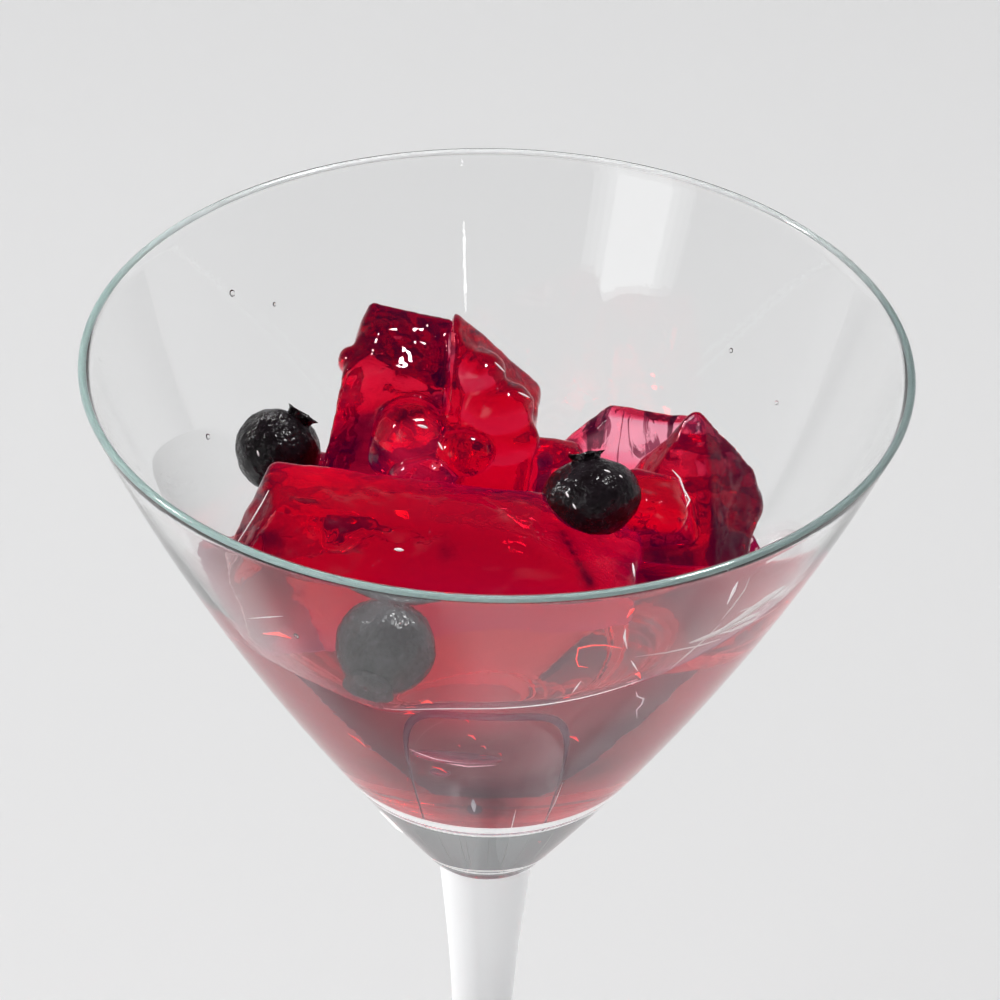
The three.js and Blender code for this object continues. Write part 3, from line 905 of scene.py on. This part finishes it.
def berry_piece(name, centre, axis, radius, flat=0.93, crown=0.3):
    deselect_all()
    bpy.ops.mesh.primitive_uv_sphere_add(segments=64, ring_count=40, radius=radius * MM)
    berry = bpy.context.object
    berry.name = berry.data.name = name
    berry.scale = (1, 1, flat)
    bpy.ops.object.transform_apply(location=True, rotation=True, scale=True)
    bpy.ops.object.mode_set(mode="EDIT")
    bpy.ops.mesh.select_all(action="DESELECT")
    bpy.ops.object.mode_set(mode="OBJECT")
    for face in berry.data.polygons:
        face.select = face.center.z > 0 and face.center.xy.length < crown * radius * MM
    bpy.ops.object.mode_set(mode="EDIT")
    bpy.ops.mesh.select_mode(type="FACE")
    for rise, grow in CROWN_STEPS:
        bpy.ops.mesh.extrude_region_move(
            TRANSFORM_OT_translate={"value": (0, 0, rise * radius * MM)})
        bpy.ops.transform.resize(value=(grow, grow, 1), center_override=(0, 0, radius * MM))
    bpy.ops.object.mode_set(mode="OBJECT")
    top = radius * (flat + CROWN_RISE) * MM
    for vertex in berry.data.vertices:
        if vertex.co.z > top and vertex.co.xy.length > CROWN_HEART * radius * MM:
            point = 1 + CROWN_RAGGED * math.cos(CROWN_POINTS * math.atan2(vertex.co.y, vertex.co.x))
            vertex.co.x, vertex.co.y = vertex.co.x * point, vertex.co.y * point
    turn = Vector((0, 0, 1)).rotation_difference(Vector(axis).normalized())
    berry.rotation_mode = "QUATERNION"
    berry.rotation_quaternion = turn
    berry.location = Vector(centre) * MM
    bpy.ops.object.transform_apply(location=True, rotation=True, scale=True)
    for scale, strength in BERRY_SWELLS:
        swell(berry, scale, strength)
    bpy.ops.object.shade_smooth_by_angle(angle=math.radians(50))
    return berry


for name, spec in BERRIES.items():
    looks = painted_veil_skin if name == "berry_front" else berry_skin
    finish_piece(berry_piece(name + "_piece", **spec), looks, "berry_skin", name)

# %% [markdown]
# Thin lines are drawn as curves with a round bevel and then turned to meshes. A line on the wall is given
# by how far right and how high its points are, and the wall's own curve tells how deep they lie.

# %% Lines on the wall
def thread(name, points, radius, swell_at=lambda share: 1.0):
    """A round line through points in millimetres; swell_at gives its thickness from end to end."""
    deselect_all()
    bpy.ops.curve.primitive_nurbs_path_add()
    line = bpy.context.object
    line.data.splines.clear()
    spline = line.data.splines.new("POLY")
    spline.points.add(len(points) - 1)
    for i, (knot, point) in enumerate(zip(spline.points, points)):
        knot.co = (*(point * MM), 1)
        knot.radius = swell_at(i / (len(points) - 1))
    line.data.bevel_depth, line.data.bevel_resolution = radius * MM, 3
    line.data.use_fill_caps = True
    bpy.ops.object.convert(target="MESH")
    line = bpy.context.object
    line.name = line.data.name = name
    bpy.ops.object.mode_set(mode="EDIT")
    bpy.ops.mesh.select_all(action="SELECT")
    bpy.ops.mesh.remove_doubles(threshold=1e-6)
    bpy.ops.mesh.normals_make_consistent(inside=False)
    bpy.ops.object.mode_set(mode="OBJECT")
    bpy.ops.object.shade_smooth()
    return line


def on_front_wall(x, z, inside):
    """The point at x and z that lies the given millimetres inside the front of the hollow."""
    low, high = 0.0, 1.0
    for _ in range(30):
        middle = (low + high) / 2
        point = wall_point(middle, wall_thickness(middle) + inside)[0]
        low, high = (middle, high) if point.y > z else (low, middle)
    return Vector((x, -math.sqrt(max(0, point.x ** 2 - x * x)), z))


def taper(share):
    """The thickness of a line that thins out to both ends."""
    return 0.25 + 0.75 * math.sin(math.pi * min(1, max(0, share))) ** 0.6


def wall_thread(name, places, inside, radius, material, slot="red_jelly"):
    """A tapered line on the front wall, through places given as x and z."""
    points = [on_front_wall(x, z, inside) for x, z in places]
    finish_piece(thread(name, points, radius, taper), material, slot)


def line_material(name, colour, glow):
    material, shader = node_material(name)
    shader.inputs["Base Color"].default_value = (*colour, 1)
    shader.inputs["Emission Color"].default_value = (*glow, 1)
    shader.inputs["Emission Strength"].default_value = 1.0
    shader.inputs["Specular IOR Level"].default_value = 0.0
    add_unevenness(material, shader, 300, 1200, 0.4, 0.00005, (0.15, 0.4))
    return material


# %% [markdown]
# Low in the jelly a dark arch shows. It is drawn as a dark maroon line with a faint painted glow, broad at
# its upper corners and thin at its feet.

# %% Dark arch in the jelly
maroon = line_material("dark_maroon", (0.06, 0.001, 0.006), (0.05, 0.0, 0.008))
ARCH_FOOT, ARCH_TOP = 110.5, 145.2
ARCH_HALF, ARCH_SPREAD, ARCH_MIDDLE = 7.0, 4.8, -0.2
ARCH_STEPS, ARCH_INSIDE = 60, 0.9
ARCH_SIDE_POWER, ARCH_TOP_POWER = 0.35, 0.5
arch = []
for i in range(ARCH_STEPS + 1):
    angle = math.pi * i / ARCH_STEPS
    across = math.copysign(abs(math.cos(angle)) ** ARCH_SIDE_POWER, -math.cos(angle))
    up = max(0.0, math.sin(angle)) ** ARCH_TOP_POWER
    arch.append(on_front_wall(across * (ARCH_HALF + ARCH_SPREAD * up) + ARCH_MIDDLE,
                              ARCH_FOOT + (ARCH_TOP - ARCH_FOOT) * up, ARCH_INSIDE))
arch_line = thread("arch_line_piece", arch, 0.8, lambda share: 0.15 + 0.85 * math.sin(math.pi * share) ** 2)
finish_piece(arch_line, maroon, "red_jelly")

# %% [markdown]
# Wet edges catch the light, and here that light is painted: thin white lines that glow, as painted
# highlights on the rim of the level along the front wall, on the broken trail of juice that ran down the
# glass, and on a few scratches.

# %% White lines of wet edges
# Painted highlight: white that glows by itself.
painted_highlight = line_material("painted_highlight", (0.8, 0.78, 0.78), (0.35, 0.31, 0.32))
LINE_LEFT, LINE_RIGHT, LINE_INSIDE = -13, 19, 0.12
level_line = []
for x in range(LINE_LEFT, LINE_RIGHT + 1):
    z = LEVEL_Z
    for _ in range(8):
        point = on_front_wall(x, z, LINE_INSIDE)
        z = level_at(point.x, point.y)
    level_line.append(on_front_wall(x, z, LINE_INSIDE))
finish_piece(thread("level_line_piece", level_line, 0.07, taper), painted_highlight, "red_jelly")
WHITE_LINES = {
    "juice_trail_0_piece": (0.15, 0.17, ((16.5, 163.8), (16.4, 162), (16.8, 159.2))),
    "juice_trail_1_piece": (0.15, 0.13, ((17.4, 156), (17.8, 154.7), (18.3, 153))),
    "juice_trail_2_piece": (0.15, 0.15, ((18.2, 147.8), (18.4, 146.4), (19.2, 145.3), (19.0, 143.8),
                                         (18.4, 142.7), (18.5, 140.2))),
    "right_streak_piece": (0.15, 0.2, ((30.1, 167.7), (29.7, 166), (29, 163.1))),
    "short_streak_piece": (0.15, 0.1, ((10.3, 150.4), (10.8, 151.7), (11.3, 153))),
    "left_streak_piece": (0.15, 0.08, ((-30, 155), (-27.6, 158), (-25.6, 160))),
    "base_scratch_0_piece": (-1.0, 0.09, ((3.8, 119.3), (3.5, 116), (3.0, 110))),
    "base_scratch_1_piece": (-1.0, 0.09, ((9.7, 126), (8.8, 120), (7.5, 114))),
}
for name, (inside, radius, places) in WHITE_LINES.items():
    wall_thread(name, places, inside, radius, painted_highlight)

# %% [markdown]
# At the right the wall is smeared, and the lamps show in the smears as a fan of pale streaks: painted
# reflections, drawn as pale glowing lines.

# %% Pale streaks at the right
# Painted reflection: pale lines that glow by themselves.
pale_veil = line_material("pale_veil", (0.2, 0.19, 0.19), (0.36, 0.27, 0.27))
PALE_STREAKS = (
    (((17.8, 156.8), (21.6, 155.9), (25.9, 154.8), (28.5, 154.2)), 0.08),
    (((24.6, 156.5), (27.8, 156.3), (30.2, 156.5), (33.4, 156)), 0.3),
    (((28.4, 156.8), (30.8, 157.4), (33.9, 158.7), (36.4, 159.6)), 0.36),
    (((27.1, 156.2), (30, 155.1), (33.1, 154.4), (35.7, 154)), 0.12),
    (((22.3, 151.1), (24.4, 153.6), (26.5, 156), (28.3, 158.5)), 0.07),
    (((28.5, 159.6), (29.7, 161.9), (31.1, 165.1), (31.6, 167.8)), 0.08),
    (((30.7, 159.6), (33.3, 158.8), (35.8, 157.8), (37.4, 157.6)), 0.12),
)
for i, (places, radius) in enumerate(PALE_STREAKS):
    wall_thread(f"pale_streak_{i}_piece", places, 0.1, radius, pale_veil)

# %% [markdown]
# The clear base starts where the hollow's floor ends. Its edge throws the light back as a white band with a
# thinner ring below it, and another ring shows where the base meets the stem. Each is a painted highlight,
# a thin glowing white strip that follows the wall's section and is spun.

# %% Bright edges of the base
STRIP_WALL, STRIP_INSET, STRIP_THICK = 0.85 * BASE_WALL, 0.5, 0.2


def wall_strip(z_high, z_low, steps):
    """The section of a thin strip in the wall, inset from the outer face."""
    heights = [z_high + (z_low - z_high) * i / steps for i in range(steps + 1)]
    ends = []
    for z in heights:
        inner = on_front_wall(0, z, 0)
        ends.append(Vector((-inner.y + STRIP_WALL - STRIP_INSET, z)))
    back = [point - Vector((STRIP_THICK, 0)) for point in ends]
    return ends + back[::-1] + [ends[0]]


# Painted highlight: white that glows by itself.
bright_edge = line_material("bright_edge", (0.85, 0.84, 0.84), (0.5, 0.5, 0.5))
BASE_STRIPS = {"floor_band_piece": (113.4, 111.6, 6), "floor_ring_piece": (110.8, 110.4, 2),
               "joint_ring_piece": (97.2, 96.7, 2)}
for name, (z_high, z_low, steps) in BASE_STRIPS.items():
    strip = spun_piece(name, wall_strip(z_high, z_low, steps), 96)
    finish_piece(strip, bright_edge, "clear_glass")

# %% [markdown]
# Fine grey lines run down the clear base, as drawn glass shows them, and a few places carry painted
# highlights, white lines that glow: its left edge, a drop-shaped spot in the jelly and the lower edge of
# the split.

# %% Grain and shine of the base
grain_grey = line_material("grain_grey", (0.2, 0.2, 0.2), (0.1, 0.1, 0.1))
GRAIN = ((-12.4, 0.09), (-9.6, 0.06), (-6.2, 0.07), (-3.4, 0.1), (-2.6, 0.06),
         (0.4, 0.06), (3.0, 0.08), (5.6, 0.06), (8.8, 0.1), (11.6, 0.07))
GRAIN_RUN = ((109.6, 1), (106, 0.9), (102, 0.76), (98.4, 0.6))
for i, (x, radius) in enumerate(GRAIN):
    places = [(x * share, z) for z, share in GRAIN_RUN]
    wall_thread(f"grain_{i}_piece", places, -1.2, radius, grain_grey, "clear_glass")
# Painted highlight: near-white that glows by itself.
shine = line_material("shine", (0.95, 0.95, 0.95), (0.9, 0.9, 0.9))
BASE_EDGE = ((-14.2, -10.4, 107.4), (-12.0, -7.4, 102.6), (-9.7, -4.4, 98.4))
edge_shine = thread("base_shine_0_piece", [Vector(point) for point in BASE_EDGE], 0.17, taper)
finish_piece(edge_shine, shine, "clear_glass")
wall_thread("base_shine_1_piece", ((-1.7, 122.2), (-1.6, 120.6), (-1.5, 118.4)), 0.4, 0.36,
            shine, "clear_glass")
wall_thread("base_shine_2_piece", ((-9.6, 134.4), (-6.4, 132.4), (-2.4, 131.6), (1.0, 132.3)), 1.2, 0.16,
            shine, "clear_glass")

# %% [markdown]
# Wet creases and corners catch the lamps as painted highlights: small glowing white lines and points. They
# are placed by where they show: each is named by the point of the rim's plane that the camera sees it
# behind.

# %% White glints on jelly and berries
GLINTS = (
    (((-28.1, -30.4), (-28.8, -33.3), (-29.9, -37.2), (-30.9, -40.5), (-31.5, -42.3)), 0.12),
    (((-0.3, 0.6), (1.0, -1.7)), 0.14), (((2.8, -6.4), (4.3, -7.7)), 0.14),
    (((-9.9, -14.7), (-8.6, -15.3)), 0.2), (((-7.2, -18.5), (-6.6, -20.3)), 0.14),
    (((-12.1, -42.8), (-10.9, -43.0)), 0.22), (((17.3, -44.6), (17.5, -47.6)), 0.16),
    (((22.4, -23.6), (23.3, -25.4), (23.8, -28.1), (24.5, -30.3), (24.0, -32.1)), 0.14),
    (((9.0, -29.2), (9.4, -30.4)), 0.14), (((9.9, -31.8), (10.3, -33)), 0.12),
    (((13.8, -24.0), (14.6, -24.5)), 0.14), (((15.7, -25.1), (16.1, -25.6)), 0.12),
    (((-30.0, -21.4), (-29.7, -22.8)), 0.12),
)
GLINT_STEPS = 4
wet_pieces = [bpy.data.objects[name + "_piece"] for name in (*MASSES, *BERRIES)]
for i, (corners, radius) in enumerate(GLINTS):
    places = [Vector(a).lerp(Vector(b), step / GLINT_STEPS)
              for a, b in zip(corners, corners[1:]) for step in range(GLINT_STEPS)]
    places.append(Vector(corners[-1]))
    points = [point for point in (seen_behind(x, y, wet_pieces) for x, y in places) if point]
    if len(points) > 1:
        finish_piece(thread(f"glint_{i}_piece", points, radius, taper), painted_highlight, "red_jelly")

# %% [markdown]
# Where a lamp shines straight through a fold of the jelly, a red spark shows. Each is a painted highlight:
# a short sliver that glows by itself, just behind the wall. A longer fold at the right shows as a thin red
# outline that glows the same way.

# %% Red sparks
spark_red = line_material("spark_red", (0.8, 0.05, 0.05), (0.9, 0.06, 0.05))
SPARKS = (((-17.3, 133.9), (-15.1, 131.7)), ((10.0, 139.0), (11.2, 137.2)), ((-6.8, 130.6), (-5.0, 129.4)),
          ((-8.4, 147.4), (-6.9, 147.8)), ((-28.2, 152.9), (-24.6, 155.2)), ((18.0, 152.4), (18.7, 151.0)),
          ((16.6, 166.5), (17.4, 168.2)), ((-10.4, 143.8), (-9.0, 144.3)), ((-2.9, 144.2), (-2.4, 143.6)),
          ((-2.5, 140.4), (-1.5, 139.2)), ((-0.9, 137.6), (-0.2, 136.9)), ((1.3, 135.6), (1.7, 135)),
          ((-3.8, 137.4), (-3.4, 136.9)))
IN_JELLY, ON_WALL = 0.8, 0.1
SPARK_BOW = Vector((0.1, 0, 0.3))
SPARK_WIDEST, SPARK_SHARE = 0.24, 0.12
for i, ends in enumerate(SPARKS):
    points = [on_front_wall(x, z, IN_JELLY if z < LEVEL_Z - 1 else ON_WALL) for x, z in ends]
    middle = sum(points, Vector()) / 2 + SPARK_BOW
    width = min(SPARK_WIDEST, SPARK_SHARE * (points[1] - points[0]).length)
    spark = thread(f"spark_{i}_piece", [points[0], middle, points[1]], width, taper)
    finish_piece(spark, spark_red, "red_jelly")
LIT_FOLD = ((16.2, 159.5), (14.1, 160.9), (12.5, 161.3), (10.8, 161.0), (10.6, 158.5), (10.9, 156.8),
            (12.1, 156.2))
wall_thread("lit_fold_piece", LIT_FOLD, ON_WALL, 0.1, spark_red)

# %% [markdown]
# A few drops of juice cling to the inside of the wall above the jelly. Each is a small ball, a little
# taller than it is wide.

# %% Drops on the wall
DROPS = ((-35.9, 32.2, 161.8, 0.42), (-38.4, 16.3, 149.1, 0.35), (-30.5, 35.8, 158.0, 0.25),
         (31.5, 31.8, 154.9, 0.3), (37.5, 22.0, 153.0, 0.25), (-24.0, -39.0, 156.5, 0.4))
for i, (x, y, z, size) in enumerate(DROPS):
    drop = ball(f"drop_{i}_piece", (x, y, z), (size, size, size * 1.3))
    swell(drop, 1.0, 0.1)
    smooth_faces(drop)
    finish_piece(drop, clear_glass, "red_jelly")
